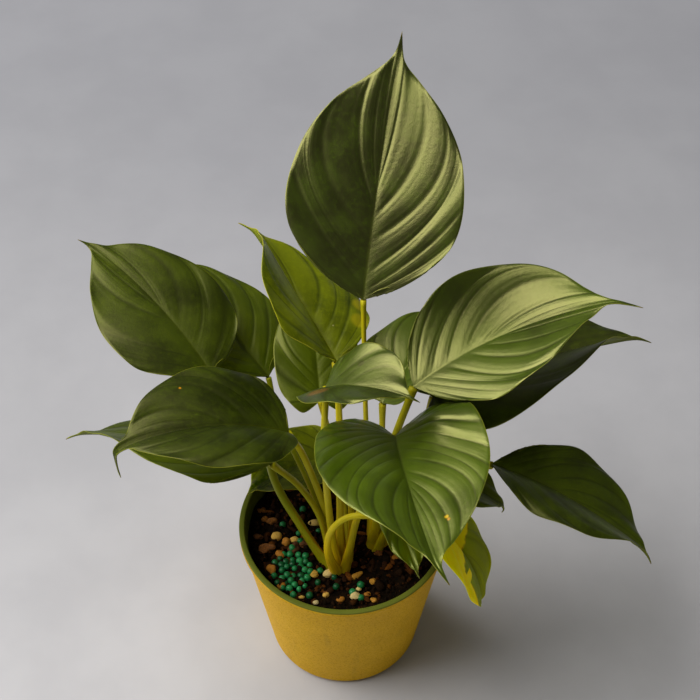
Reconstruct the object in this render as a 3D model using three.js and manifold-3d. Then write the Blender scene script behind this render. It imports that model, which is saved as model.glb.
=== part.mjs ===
// Potted emerald gem homalomena: a nursery pot, its soil and seventeen leaves on their stalks.
// Millimetres, +Z up. The origin is the middle of the pot's base, and the front is towards -Y.
import * as THREE from 'three';
import { mergeVertices } from 'three/addons/utils/BufferGeometryUtils.js';
import Module from 'manifold-3d';

const wasm = await Module();
wasm.setup();

// Driving dimensions. GAP is the clearance between pieces that touch.
const GAP = 0.3;
const MERGE = 1e-3;
const RAD = Math.PI / 180;

const POT = {
  height: 92,
  baseRadius: 39,
  rimRadius: 52.5,
  cornerRadius: 4,
  wall: 1.8,
  floor: 2.6,
  floorRound: 3,
  lipHeight: 4,
  lipStep: 0.7,
  lipSlope: 0.8,
  lipRound: 0.6,
  drainHoles: 8,
  drainRadius: 3.5,
  drainRing: 27,
  drainSegments: 12,
  segments: 40,
};

const SOIL = {
  level: 82,
  relief: 1.1,
  rings: 5,
  segments: 26,
  seed: 7,
};

const BLADE = {
  thickness: 0.8,
  marginSteps: 15,
  raySteps: 3,
  spineSteps: 60,
  hookFrom: 0.9,
  lobeDip: 20,
  wave: 0.9,
  waveCount: 5,
};

// Side veins: those that reach the margin short of from start at the stalk, and the others leave
// the midrib further and further along, by power. Each arcs forward, with its bend at the shares
// bendAlong and bendOut of its reach.
const VEIN = {
  from: 0.25,
  power: 1.3,
  bendAlong: 0.35,
  bendOut: 0.65,
};

const STALK = {
  sides: 8,
  steps: 9,
  bottom: 64,
  collar: 77,
  footRadius: 1.9,
  tipRadius: 1.2,
};

// The two crowns, and the radii of the two rings of stalks round each.
const CROWNS = {
  front: { x: -2, y: -19, inner: 2.4, outer: 6.8 },
  back: { x: 14, y: -7, inner: 2.4, outer: 6.4 },
};

// One row for each leaf. base is where the stalk meets the blade. Angles are in degrees:
// heading is the way the blade points, seen from above, from +X towards +Y; pitch lifts its start;
// roll lifts its left half; droop, side and twist bend the midrib on its way to the tip;
// fold is the rise of each half at the midrib and curl the turn from there to the margin;
// where foldRight and curlRight are given, they hold for the right half.
// lobe is how far the basal lobes reach back and belly how far the broadest place moves forward,
// both as a share of the length. foot is the crown, ring and angle where the stalk starts,
// and via are the points that it passes on its way.
const LEAVES = [
  {
    name: 'leaf_top', base: [9, 30, 223], length: 117, width: 80,
    heading: 81, pitch: 42, roll: -1, droop: 2, side: -5, twist: -6, fold: 16, curl: 2,
    foldRight: -4, curlRight: 15, lobe: -0.07, belly: 0.06, hook: -24, colour: 0x44521b,
    foot: ['back', 'outer', 90], via: [[12, 3, 120], [10, 17, 175]],
  },
  {
    name: 'leaf_right_upper', base: [32, 11, 185], length: 104, width: 71,
    heading: 32, pitch: 19, roll: 4, droop: -4, side: -41, twist: -13, fold: 6, curl: 34,
    foldRight: 9, curlRight: 3, lobe: -0.06, belly: 0.12, hook: 36, colour: 0x6b7436,
    foot: ['back', 'inner', 330], via: [[17, -8, 118], [22, -4, 158]],
  },
  {
    name: 'leaf_right_lower', base: [43, 29, 156], length: 112, width: 84,
    heading: 26, pitch: 3, roll: 1, droop: -1, side: -19, twist: -44, fold: 28, curl: -10,
    foldRight: 30, curlRight: -34, lobe: 0.1, belly: 0, hook: 8, colour: 0x2f3d12,
    foot: ['back', 'outer', 30], via: [[26, 3, 112], [37, 18, 138]],
  },
  {
    name: 'leaf_left_front', base: [-62, 29, 174], length: 96, width: 64,
    heading: 126, pitch: 21, roll: 6, droop: 15, side: 16, twist: -13, fold: 9, curl: -20,
    foldRight: 3, curlRight: -13, lobe: -0.05, belly: 0.04, hook: -13, colour: 0x3c4a16,
    foot: ['front', 'outer', 197], via: [[-21, -6, 98], [-34, 10, 115], [-43, 29, 149]],
  },
  {
    name: 'leaf_left_back', base: [-36, 41, 157], length: 92, width: 62,
    heading: 132, pitch: 20, roll: 11, droop: 21, side: 0, twist: 1, fold: 10, curl: -19,
    lobe: -0.1, belly: 0.01, hook: 0, colour: 0x33420f,
    foot: ['front', 'outer', 122], via: [[-15, 4, 110], [-26, 20, 130], [-33, 33, 144]],
  },
  {
    name: 'leaf_young', base: [-3, 23, 189], length: 86, width: 62,
    heading: 119, pitch: 17, roll: 23, droop: 7, side: 4, twist: 39, fold: 32, curl: -46,
    foldRight: 34, curlRight: -29, lobe: -0.05, belly: 0.02, hook: -20, colour: 0x5a6a12,
    foot: ['front', 'inner', 90], via: [[-2, -5, 120], [-2, 10, 160]],
  },
  {
    name: 'leaf_front_left', base: [-25, -5, 172], length: 84, width: 68,
    heading: 187, pitch: 32, roll: 15, droop: 47, side: 15, twist: -12, fold: 30, curl: -46,
    foldRight: 27, curlRight: -29, lobe: -0.02, belly: 0.03, hook: 67, colour: 0x39470f,
    foot: ['front', 'outer', 85], via: [[-9, -4, 108], [-19, 3, 143]],
  },
  {
    name: 'leaf_low_left', base: [-34, 0, 142], length: 105, width: 65,
    heading: 162, pitch: 8, roll: 3, droop: 25, side: 9, twist: 50, fold: 13, curl: -14,
    lobe: -0.1, belly: 0, hook: 0, colour: 0x4b5a12,
    foot: ['front', 'outer', 159], via: [[-11, -7, 104], [-21, 0, 122]],
  },
  {
    name: 'leaf_centre', base: [-8, -1, 200], length: 50, width: 45,
    heading: -32, pitch: 41, roll: -9, droop: 34, side: 0, twist: 1, fold: 17, curl: 10,
    foldRight: 23, curlRight: -20, lobe: 0.09, belly: 0.01, hook: 34, colour: 0x76803c,
    foot: ['front', 'inner', 210], via: [[-7, -15, 120], [-9, -8, 165]],
  },
  {
    name: 'leaf_back_centre', base: [-11, 24, 160], length: 67, width: 41,
    heading: 97, pitch: 25, roll: 3, droop: 25, side: -8, twist: 2, fold: 12, curl: -20,
    foldRight: 5, curlRight: -10, lobe: 0.08, belly: -0.01, hook: 0, colour: 0x46550f,
    foot: ['front', 'outer', 5], via: [[3, 0, 110], [-6, 15, 138]],
  },
  {
    name: 'leaf_heart', base: [23, -16, 183], length: 92, width: 78,
    heading: -84, pitch: 19, roll: 9, droop: 8, side: 7, twist: -12, fold: 13, curl: 2,
    foldRight: 38, curlRight: -47, lobe: 0.23, belly: -0.17, hook: 40, colour: 0x52601c,
    foot: ['front', 'outer', 300], via: [[6, -16, 118], [16, -14, 152]],
  },
  {
    name: 'leaf_right_front', base: [69, -7, 150], length: 87, width: 59,
    heading: -26, pitch: 4, roll: -18, droop: 34, side: -6, twist: -16, fold: 19, curl: -2,
    foldRight: 29, curlRight: -51, lobe: -0.08, belly: 0.12, hook: 24, colour: 0x2c3a10,
    foot: ['back', 'outer', -10], via: [[32, 0, 104], [54, 7, 134]],
  },
  {
    name: 'leaf_under_heart', base: [31, -13, 150], length: 53, width: 31,
    heading: -5, pitch: 2, roll: -6, droop: 52, side: -4, twist: 0, fold: 18, curl: -8,
    lobe: 0.1, belly: 0, hook: 30, colour: 0x33400f,
    foot: ['back', 'inner', 90], via: [[21, -1, 112], [29, -8, 136]],
  },
  {
    name: 'leaf_yellowing', base: [41, -15, 118], length: 64, width: 42,
    heading: -33, pitch: -19, roll: -28, droop: 76, side: -9, twist: 7, fold: 17, curl: -22,
    lobe: 0.05, belly: 0, hook: 15, colour: 0xb09a14,
    foot: ['front', 'outer', 244],
    via: [[-8, -25, 105], [-6, -23, 119], [2, -21, 127], [14, -21, 128]],
  },
  {
    name: 'leaf_small_front', base: [24, -9, 112], length: 36, width: 20,
    heading: -71, pitch: 11, roll: -20, droop: 27, side: -3, twist: 14, fold: 16, curl: -10,
    foldRight: 7, curlRight: -10, lobe: 0.05, belly: 0, hook: 30, colour: 0x3f4d12,
    foot: ['back', 'outer', -50], via: [[20, -10, 98]],
  },
  {
    name: 'leaf_back_right', base: [18, 17, 166], length: 73, width: 50,
    heading: 54, pitch: 24, roll: -21, droop: 41, side: 1, twist: -1, fold: 17, curl: -2,
    lobe: -0.02, belly: 0, hook: 0, colour: 0x4a5816,
    foot: ['back', 'inner', 210], via: [[15, -2, 115], [18, 8, 144]],
  },
  {
    name: 'leaf_rim', base: [-5, 37, 99], length: 51, width: 43,
    heading: 199, pitch: 11, roll: 3, droop: 24, side: 19, twist: 4, fold: 19, curl: -11,
    lobe: 0.05, belly: 0, hook: 30, colour: 0x55651a,
    foot: ['front', 'outer', 43], via: [[0, 8, 91]],
  },
];

// A granule's middle lies above the soil by rise, a share of its radius; flat is its height, vary
// the spread of its size, and margin its clearance to the soil's edge.
const GRANULE = { rise: 0.25, flat: 0.9, vary: 0.3, margin: 1 };

// Fertiliser beads and mineral granules, in groups: centre on the soil, spread, count and radius.
const GRANULES = [
  { x: -27, y: -21, spread: 8, count: 14, radius: 1.8, stretch: 1 },
  { x: -15, y: -33, spread: 6, count: 4, radius: 1.7, stretch: 1 },
  { x: 5, y: -32, spread: 7, count: 3, radius: 1.7, stretch: 1 },
  { x: -27, y: 3, spread: 4, count: 2, radius: 1.7, stretch: 1 },
  { x: -31, y: -2, spread: 5, count: 3, radius: 2.3, stretch: 1.2 },
  { x: -39, y: 9, spread: 4, count: 2, radius: 2, stretch: 1.3 },
  { x: -36, y: -20, spread: 6, count: 3, radius: 2.3, stretch: 1.1 },
  { x: -12, y: -26, spread: 4, count: 2, radius: 2.4, stretch: 1.2 },
  { x: 3, y: -37, spread: 9, count: 4, radius: 2, stretch: 1.4 },
  { x: 24, y: -16, spread: 8, count: 3, radius: 1.8, stretch: 1.3 },
  { x: 20, y: 30, spread: 12, count: 4, radius: 2, stretch: 1.2 },
];

// Random numbers that come out the same each time, from 0 to 1.
function seededRandom(seed) {
  let state = seed;
  return () => {
    state = (state * 1664525 + 1013904223) % 4294967296;
    return state / 4294967296;
  };
}

// Solids for cutting and joining, and their way back to a three.js geometry.

function solidOf(geometry) {
  const bare = geometry.clone();
  bare.deleteAttribute('normal');
  bare.deleteAttribute('uv');
  const merged = mergeVertices(bare, MERGE);
  const index = merged.index.array;
  const kept = [];
  for (let i = 0; i < index.length; i += 3) {
    const [a, b, c] = [index[i], index[i + 1], index[i + 2]];
    if (a !== b && b !== c && c !== a) kept.push(a, b, c);
  }
  const vertProperties = new Float32Array(merged.attributes.position.array);
  const triVerts = new Uint32Array(kept);
  return new wasm.Manifold(new wasm.Mesh({ numProp: 3, vertProperties, triVerts }));
}

function geometryOf(solid) {
  const mesh = solid.getMesh();
  const geometry = new THREE.BufferGeometry();
  geometry.setAttribute('position', new THREE.BufferAttribute(mesh.vertProperties, 3));
  geometry.setIndex(new THREE.BufferAttribute(mesh.triVerts, 1));
  geometry.computeVertexNormals();
  return geometry;
}

// A geometry from a list of triangles, each a list of three points; needle-thin ones are left out.
function geometryFromTriangles(triangles) {
  const same = (p, q) => p.distanceTo(q) < MERGE;
  const kept = triangles.filter(([a, b, c]) => !same(a, b) && !same(b, c) && !same(c, a));
  const geometry = new THREE.BufferGeometry().setFromPoints(kept.flat());
  const merged = mergeVertices(geometry, MERGE);
  merged.computeVertexNormals();
  return merged;
}

// The point at place t (0 to 1) on the smooth curve through a list of points.
function smoothThrough(points, t) {
  const last = points.length - 1;
  const scaled = Math.min(Math.max(t, 0), 1) * last;
  const i = Math.min(Math.floor(scaled), last - 1);
  const f = scaled - i;
  const beyond = (end, inner) => end.map((v, k) => 2 * v - inner[k]);
  const before = i > 0 ? points[i - 1] : beyond(points[0], points[1]);
  const after = i + 2 <= last ? points[i + 2] : beyond(points[last], points[last - 1]);
  return points[i].map((b, k) => {
    const [a, c, d] = [before[k], points[i + 1][k], after[k]];
    const square = 2 * a - 5 * b + 4 * c - d;
    const cube = 3 * b - a - 3 * c + d;
    return 0.5 * (2 * b + (c - a) * f + square * f ** 2 + cube * f ** 3);
  });
}

// Pot

function potOuterRadius(z) {
  return POT.baseRadius + (POT.rimRadius - POT.lipStep - POT.baseRadius) * (z / POT.height);
}

function potInnerRadius(z) {
  return potOuterRadius(z) - POT.wall;
}

function lathe(profile, segments) {
  const points = profile.map(([r, z]) => new THREE.Vector2(r, z));
  return new THREE.LatheGeometry(points, segments).rotateX(Math.PI / 2);
}

function buildPot() {
  const { height, cornerRadius, wall, floor, floorRound, lipHeight, lipSlope, lipRound, rimRadius } = POT;
  const profile = [[0, 0]];
  const corner = potOuterRadius(cornerRadius) - cornerRadius;
  for (let angle = -90; angle <= 0; angle += 30) {
    const z = cornerRadius * (1 + Math.sin(angle * RAD));
    profile.push([corner + cornerRadius * Math.cos(angle * RAD), z]);
  }
  const lipBottom = height - lipHeight;
  profile.push([potOuterRadius(lipBottom), lipBottom]);
  profile.push([rimRadius, lipBottom + lipSlope]);
  profile.push([rimRadius, height - lipRound]);
  profile.push([rimRadius - lipRound, height]);
  profile.push([rimRadius - wall, height]);
  profile.push([potInnerRadius(lipBottom), lipBottom]);
  profile.push([potInnerRadius(floor + floorRound), floor + floorRound]);
  profile.push([potInnerRadius(floor) - floorRound, floor]);
  profile.push([0, floor]);
  let solid = solidOf(lathe(profile, POT.segments));
  for (let i = 0; i < POT.drainHoles; i += 1) {
    const angle = (2 * Math.PI * i) / POT.drainHoles;
    const hole = new THREE.CylinderGeometry(POT.drainRadius, POT.drainRadius, 4 * floor, POT.drainSegments);
    hole.rotateX(Math.PI / 2);
    hole.translate(POT.drainRing * Math.cos(angle), POT.drainRing * Math.sin(angle), 0);
    solid = solid.subtract(solidOf(hole));
  }
  return geometryOf(solid);
}

// Leaves

// The half outline of a flat leaf, from the stalk round the lobe to the tip, as shares of its
// length and width.
function halfOutline({ lobe, belly }) {
  const points = [
    [0, 0],
    [-0.55 * lobe, 0.085],
    [-lobe, 0.23],
    [0.08 - 0.9 * lobe, 0.38],
    [0.19 - 0.6 * lobe, 0.475],
    [0.37, 0.5],
    [0.55, 0.45],
    [0.72, 0.315],
    [0.84, 0.155],
    [0.92, 0.05],
    [1, 0],
  ];
  return points.map(([x, y]) => [x > 0 ? x + 4 * belly * x * (1 - x) ** 2 : x, y]);
}

// The flat place of a point: u runs along the margin from the stalk to the tip, and v from the
// midrib out to the margin, along a line that arcs forward as the side veins do.
function flatPoint(leaf, u, v) {
  const [ex, ey] = smoothThrough(halfOutline(leaf), u);
  const start = Math.max(0, (ex - VEIN.from) / (1 - VEIN.from)) ** VEIN.power;
  const bendX = start + VEIN.bendAlong * (ex - start);
  const bendY = VEIN.bendOut * ey;
  const x = (1 - v) ** 2 * start + 2 * v * (1 - v) * bendX + v ** 2 * ex;
  const y = 2 * v * (1 - v) * bendY + v ** 2 * ey;
  return [x * leaf.length, y * leaf.width];
}

// The midrib's pitch and heading at a share s of the length, the heading seen from its start.
function midribAngles(leaf, s) {
  const hooked = Math.max(0, (s - BLADE.hookFrom) / (1 - BLADE.hookFrom));
  return {
    pitch: (leaf.pitch - leaf.droop * s - leaf.hook * hooked ** 2) * RAD,
    turn: leaf.side * s * RAD,
  };
}

// The midrib as a chain of points in the leaf's own frame, which starts at the stalk.
function walkMidrib(leaf) {
  const step = leaf.length / BLADE.spineSteps;
  const chain = [new THREE.Vector3()];
  for (let i = 0; i < BLADE.spineSteps; i += 1) {
    const { pitch, turn } = midribAngles(leaf, (i + 0.5) / BLADE.spineSteps);
    const ahead = new THREE.Vector3(
      Math.cos(pitch) * Math.cos(turn),
      Math.cos(pitch) * Math.sin(turn),
      Math.sin(pitch),
    );
    chain.push(chain[i].clone().addScaledVector(ahead, step));
  }
  return chain;
}

// The directions ahead, to the left and up out of the blade, at a share s of the length.
function bladeAxes(leaf, s) {
  const { pitch, turn } = midribAngles(leaf, s);
  const ahead = new THREE.Vector3(
    Math.cos(pitch) * Math.cos(turn),
    Math.cos(pitch) * Math.sin(turn),
    Math.sin(pitch),
  );
  const roll = (leaf.roll + leaf.twist * s) * RAD;
  const level = new THREE.Vector3(-Math.sin(turn), Math.cos(turn), 0);
  const square = new THREE.Vector3().crossVectors(ahead, level);
  const left = level.clone().multiplyScalar(Math.cos(roll)).addScaledVector(square, Math.sin(roll));
  const up = square.clone().multiplyScalar(Math.cos(roll)).addScaledVector(level, -Math.sin(roll));
  return { ahead, left, up };
}

// How the half of the blade on this side of the midrib rises and curls.
function sectionOf(leaf, out) {
  const { fold, curl, foldRight = fold, curlRight = curl } = leaf;
  const [rise, turn] = out < 0 ? [foldRight, curlRight] : [fold, curl];
  return { fold: rise * RAD, curl: turn * RAD };
}

// Where a flat point of the leaf lies once the blade is folded, curled, bent and set in place.
// out is the distance to the left of the midrib, and wave lifts the margin.
function placePoint(leaf, along, out, wave = 0) {
  const s = Math.min(Math.max(along / leaf.length, 0), 1);
  const scaled = s * BLADE.spineSteps;
  const i = Math.min(Math.floor(scaled), BLADE.spineSteps - 1);
  const point = leaf.midrib[i].clone().lerp(leaf.midrib[i + 1], scaled - i);
  const { ahead, left, up } = bladeAxes(leaf, s);
  point.addScaledVector(ahead, Math.min(along, 0));
  const half = leaf.width / 2;
  const { fold, curl } = sectionOf(leaf, out);
  const end = fold + (curl * Math.abs(out)) / half;
  const across = (half * (Math.sin(end) - Math.sin(fold))) / curl;
  const rise = (half * (Math.cos(fold) - Math.cos(end))) / curl;
  const lobeDip = Math.min(along, 0) * Math.tan(BLADE.lobeDip * RAD);
  point.addScaledVector(left, across * Math.sign(out));
  point.addScaledVector(up, rise + lobeDip + wave);
  point.applyAxisAngle(new THREE.Vector3(0, 0, 1), leaf.heading * RAD);
  return point.add(new THREE.Vector3(...leaf.base));
}

// A blade's upper and lower faces share one grid of triangles, so the blade never crosses itself.
function buildBlade(leaf) {
  const triangles = [];
  const { marginSteps, raySteps, thickness } = BLADE;
  const pointAt = (i, j, side) => {
    const u = i / marginSteps;
    const v = j / raySteps;
    const [along, out] = flatPoint(leaf, u, v);
    const swell = 4 * u * (1 - u) * v ** 3;
    const wave = BLADE.wave * swell * Math.sin(2 * Math.PI * BLADE.waveCount * u + side);
    return placePoint(leaf, along, side * out, wave);
  };
  const normalAt = (i, j, side) => {
    const [u, v] = [i / marginSteps, j / raySteps];
    const small = 0.01;
    const at = (du, dv) => {
      const [along, out] = flatPoint(leaf, Math.min(u + du, 1), Math.min(v + dv, 1));
      return placePoint(leaf, along, side * out);
    };
    const s = Math.min(Math.max(flatPoint(leaf, u, v)[0] / leaf.length, 0), 1);
    const spineUp = bladeAxes(leaf, s).up.applyAxisAngle(new THREE.Vector3(0, 0, 1), leaf.heading * RAD);
    if (j === 0 || i === 0 || i === marginSteps) return spineUp;
    const alongMargin = at(small, 0).sub(at(-small, 0));
    const alongRay = at(0, 0).sub(at(0, -small));
    const normal = alongRay.cross(alongMargin).normalize();
    if (normal.dot(spineUp) < 0) normal.negate();
    return normal;
  };
  for (const side of [1, -1]) {
    const upper = [];
    const lower = [];
    for (let i = 0; i <= marginSteps; i += 1) {
      upper.push([]);
      lower.push([]);
      for (let j = 0; j <= raySteps; j += 1) {
        const point = pointAt(i, j, side);
        upper[i].push(point);
        lower[i].push(point.clone().addScaledVector(normalAt(i, j, side), -thickness));
      }
    }
    const addQuad = (a, b, c, d) => {
      const corners = side > 0 ? [a, b, c, d] : [d, c, b, a];
      triangles.push([corners[0], corners[1], corners[2]], [corners[0], corners[2], corners[3]]);
    };
    for (let i = 0; i < marginSteps; i += 1) {
      for (let j = 0; j < raySteps; j += 1) {
        addQuad(upper[i][j], upper[i + 1][j], upper[i + 1][j + 1], upper[i][j + 1]);
        addQuad(lower[i][j + 1], lower[i + 1][j + 1], lower[i + 1][j], lower[i][j]);
      }
      addQuad(upper[i][raySteps], upper[i + 1][raySteps], lower[i + 1][raySteps], lower[i][raySteps]);
    }
  }
  return geometryFromTriangles(triangles);
}

// Stalks

// The points that a stalk passes: up out of the soil, past its via points, to just under its blade.
function stalkPoints(leaf) {
  const [crownName, ring, angle] = leaf.foot;
  const crown = CROWNS[crownName];
  const x = crown.x + crown[ring] * Math.cos(angle * RAD);
  const y = crown.y + crown[ring] * Math.sin(angle * RAD);
  const up = bladeAxes(leaf, 0).up.applyAxisAngle(new THREE.Vector3(0, 0, 1), leaf.heading * RAD);
  const end = new THREE.Vector3(...leaf.base);
  const last = new THREE.Vector3(...leaf.via[leaf.via.length - 1]);
  const arrival = end.clone().sub(last).normalize();
  const tilt = Math.sqrt(Math.max(0, 1 - arrival.dot(up) ** 2));
  end.addScaledVector(up, -(BLADE.thickness + GAP + STALK.tipRadius * tilt));
  return [[x, y, STALK.bottom], [x, y, STALK.collar], ...leaf.via, end.toArray()];
}

// A round stalk that narrows from foot to tip, with grown as extra radius for the hole it stands in.
function buildStalk(leaf, grown = 0) {
  const { sides, steps, footRadius, tipRadius } = STALK;
  const points = stalkPoints(leaf);
  if (grown > 0) points[0][2] -= grown;
  const centreAt = (t) => new THREE.Vector3(...smoothThrough(points, t));
  const rings = [];
  let across = new THREE.Vector3(1, 0, 0);
  for (let i = 0; i <= steps; i += 1) {
    const t = i / steps;
    const centre = centreAt(t);
    const ahead = centreAt(Math.min(t + 0.01, 1)).sub(centreAt(Math.max(t - 0.01, 0))).normalize();
    across = across.clone().addScaledVector(ahead, -across.dot(ahead)).normalize();
    const around = new THREE.Vector3().crossVectors(ahead, across);
    const radius = footRadius + (tipRadius - footRadius) * t ** 0.7 + grown;
    rings.push({ centre, points: [] });
    for (let k = 0; k < sides; k += 1) {
      const angle = (2 * Math.PI * k) / sides;
      const point = centre.clone().addScaledVector(across, radius * Math.cos(angle));
      rings[i].points.push(point.addScaledVector(around, radius * Math.sin(angle)));
    }
  }
  const triangles = [];
  for (let k = 0; k < sides; k += 1) {
    const next = (k + 1) % sides;
    for (let i = 0; i < steps; i += 1) {
      const [low, high] = [rings[i].points, rings[i + 1].points];
      triangles.push([low[k], low[next], high[next]], [low[k], high[next], high[k]]);
    }
    const [first, last] = [rings[0], rings[steps]];
    triangles.push([first.centre, first.points[next], first.points[k]]);
    triangles.push([last.centre, last.points[k], last.points[next]]);
  }
  return geometryFromTriangles(triangles);
}

// Soil

function soilHeight(x, y) {
  const coarse = Math.sin(0.19 * x + 1.3) * Math.cos(0.17 * y - 0.6);
  const fine = Math.sin(0.61 * x - 0.53 * y);
  return SOIL.level + SOIL.relief * (0.7 * coarse + 0.3 * fine);
}

function buildSoil() {
  const { rings, segments } = SOIL;
  const bottom = POT.floor + GAP;
  const lowestTop = SOIL.level - SOIL.relief;
  const topEdge = potInnerRadius(lowestTop) * Math.cos(Math.PI / POT.segments) - GAP;
  const bottomEdge = potInnerRadius(POT.floor) - POT.floorRound - GAP;
  const around = (radius, z) => {
    const ring = [];
    for (let k = 0; k < segments; k += 1) {
      const angle = (2 * Math.PI * k) / segments;
      const [x, y] = [radius * Math.cos(angle), radius * Math.sin(angle)];
      ring.push(new THREE.Vector3(x, y, z === null ? soilHeight(x, y) : z));
    }
    return ring;
  };
  const stack = [around(bottomEdge, bottom)];
  for (let i = rings; i > 0; i -= 1) stack.push(around((topEdge * i) / rings, null));
  const under = new THREE.Vector3(0, 0, bottom);
  const middle = new THREE.Vector3(0, 0, soilHeight(0, 0));
  const triangles = [];
  for (let k = 0; k < segments; k += 1) {
    const next = (k + 1) % segments;
    for (let i = 0; i + 1 < stack.length; i += 1) {
      const [low, high] = [stack[i], stack[i + 1]];
      triangles.push([low[k], low[next], high[next]], [low[k], high[next], high[k]]);
    }
    triangles.push([under, stack[0][next], stack[0][k]]);
    triangles.push([middle, stack[rings][k], stack[rings][next]]);
  }
  let solid = solidOf(geometryFromTriangles(triangles));
  const random = seededRandom(SOIL.seed);
  for (const group of GRANULES) {
    for (let i = 0; i < group.count; i += 1) {
      const angle = 2 * Math.PI * random();
      const reach = group.spread * Math.sqrt(random());
      const x = group.x + reach * Math.cos(angle);
      const y = group.y + reach * Math.sin(angle);
      const radius = group.radius * (1 + GRANULE.vary * (random() - 0.5));
      const turn = Math.PI * random();
      if (Math.hypot(x, y) > topEdge - radius * group.stretch - GRANULE.margin) continue;
      const granule = new THREE.IcosahedronGeometry(radius, 0);
      granule.scale(group.stretch, 1, GRANULE.flat);
      granule.rotateZ(turn);
      granule.translate(x, y, soilHeight(x, y) + GRANULE.rise * radius);
      solid = solid.add(solidOf(granule));
    }
  }
  for (const leaf of LEAVES) solid = solid.subtract(solidOf(buildStalk(leaf, GAP)));
  return geometryOf(solid);
}

// The assembled plant

const plant = new THREE.Group();

function addPart(name, geometry, colour, roughness) {
  const material = new THREE.MeshStandardMaterial({ color: colour, roughness, metalness: 0 });
  const mesh = new THREE.Mesh(geometry, material);
  mesh.name = name;
  plant.add(mesh);
}

addPart('pot', buildPot(), 0xa8822a, 0.6);
for (const leaf of LEAVES) leaf.midrib = walkMidrib(leaf);
addPart('soil', buildSoil(), 0x1d150e, 0.95);
for (const leaf of LEAVES) {
  addPart(leaf.name, buildBlade(leaf), leaf.colour, 0.4);
  addPart(leaf.name.replace('leaf', 'stalk'), buildStalk(leaf), 0x8a8a1c, 0.5);
}

export default plant;
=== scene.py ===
# Potted emerald gem homalomena: fine leaves, stalks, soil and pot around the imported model.
# Lengths in the tables are millimetres, as in the part's own source; Blender's objects are in metres.
import math

import bmesh
import bpy
import numpy as np
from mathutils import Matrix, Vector


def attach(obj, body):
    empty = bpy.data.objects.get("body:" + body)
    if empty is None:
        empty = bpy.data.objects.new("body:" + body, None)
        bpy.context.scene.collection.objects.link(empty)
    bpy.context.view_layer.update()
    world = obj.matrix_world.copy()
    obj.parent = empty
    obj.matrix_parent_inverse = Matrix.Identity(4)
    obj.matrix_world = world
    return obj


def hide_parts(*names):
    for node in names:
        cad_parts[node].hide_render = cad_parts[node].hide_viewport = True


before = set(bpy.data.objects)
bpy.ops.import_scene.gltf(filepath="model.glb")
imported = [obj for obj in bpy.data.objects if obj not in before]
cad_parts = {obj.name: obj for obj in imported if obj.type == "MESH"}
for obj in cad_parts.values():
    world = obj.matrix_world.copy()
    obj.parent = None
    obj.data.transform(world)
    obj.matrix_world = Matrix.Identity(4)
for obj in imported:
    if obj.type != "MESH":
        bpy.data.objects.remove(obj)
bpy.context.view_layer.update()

MM = 0.001

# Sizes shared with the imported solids. SOIL_GAP is the clearance between the soil and the pot.
POT_HEIGHT = 92
POT_BASE_RADIUS = 39
POT_RIM_RADIUS = 52.5
POT_CORNER = 4
POT_WALL = 1.8
POT_FLOOR = 2.6
POT_FLOOR_ROUND = 3
POT_LIP_HEIGHT = 4
POT_LIP_STEP = 0.7
POT_LIP_ROUND = 0.6
POT_SEGMENTS = 168
DRAIN_HOLES = 8
DRAIN_RADIUS = 3.5
DRAIN_RING = 27
SOIL_LEVEL = 82
SOIL_RELIEF = 1.1
SOIL_GAP = 0.3
SOIL_RINGS = 74
SOIL_SEGMENTS = 220
SPINE_STEPS = 60
HOOK_FROM = 0.9
LOBE_DIP = math.radians(20)
WAVE = 0.9
WAVE_COUNT = 5
STALK_COLLAR = 77
STALK_FOOT_RADIUS = 1.9

# Here the stalks stand less deep and closer round the middle of their crown. Each foot widens into
# a sheath that wraps it, with a channel (its half width and painted edge are in radians), and the
# neck swells under the blade. Thickness is a share of the radii, and fresh is from yellow to green.
STALK_BOTTOM = 72
STALK_TIP_RADIUS = 1.3
STALK_THICKNESS = 1.15
STALK_FRESH = 0.2
STALK_STEPS = 72
STALK_SIDES = 20
SHEATH_LENGTH = 40
SHEATH_SPREAD = 1.1
SHEATH_WRAP = 9
SHEATH_FROM = 4
SHEATH_CHANNEL = 0.3
CHANNEL_DEPTH = 0.2
CHANNEL_HALF = 0.5
CHANNEL_EDGE = 1.1
NECK_LENGTH = 6
NECK_SWELL = 0.3
CROWNS = {
    "front": {"x": -2, "y": -19, "inner": 1.4, "outer": 4.2},
    "back": {"x": 14, "y": -7, "inner": 1.4, "outer": 4},
}

POT_WALL_SLOPE = (POT_RIM_RADIUS - POT_LIP_STEP - POT_BASE_RADIUS) / POT_HEIGHT

# Stones on the soil: x, y, half length, half width and the way they point, in degrees.
PALE_STONES = [
    (-34, -2, 2.8, 2.4, 0), (-25, -4, 2.2, 1.8, 10), (-8, -24, 3, 2.2, 30), (-15, 7, 3.2, 1.9, 0),
    (5, -37, 2.6, 2.2, 0), (7, -33, 1.3, 1.2, 0), (-21, -37, 1.5, 1, 0), (-14, -40, 1.5, 1.3, 0),
    (-9, -36, 1.7, 1.4, 0), (-23, -19, 1.3, 0.9, 0), (30, 14, 2.2, 1.7, 40), (12, 34, 2.3, 1.6, 70),
]
TAN_STONES = [
    (-29, -5, 2.5, 2.3, 40), (-32, -12, 2.4, 2.3, 0), (-36, -21, 2.6, 2.3, 60),
    (-15, -24, 2.3, 2.1, 0), (6, -25, 4, 1.7, 32), (14, -28, 1.7, 1.6, 0), (25, -15, 2, 1.7, 30),
    (-31, -31, 2.4, 2, -30), (-2, -39, 2.3, 1.5, 25), (11, -36, 1.6, 1.4, 0), (14, -39, 1.8, 1.5, 0),
    (28, 24, 2.1, 1.6, 15), (-8, 38, 2, 1.5, -20), (36, -4, 1.8, 1.4, 50),
]
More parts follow.
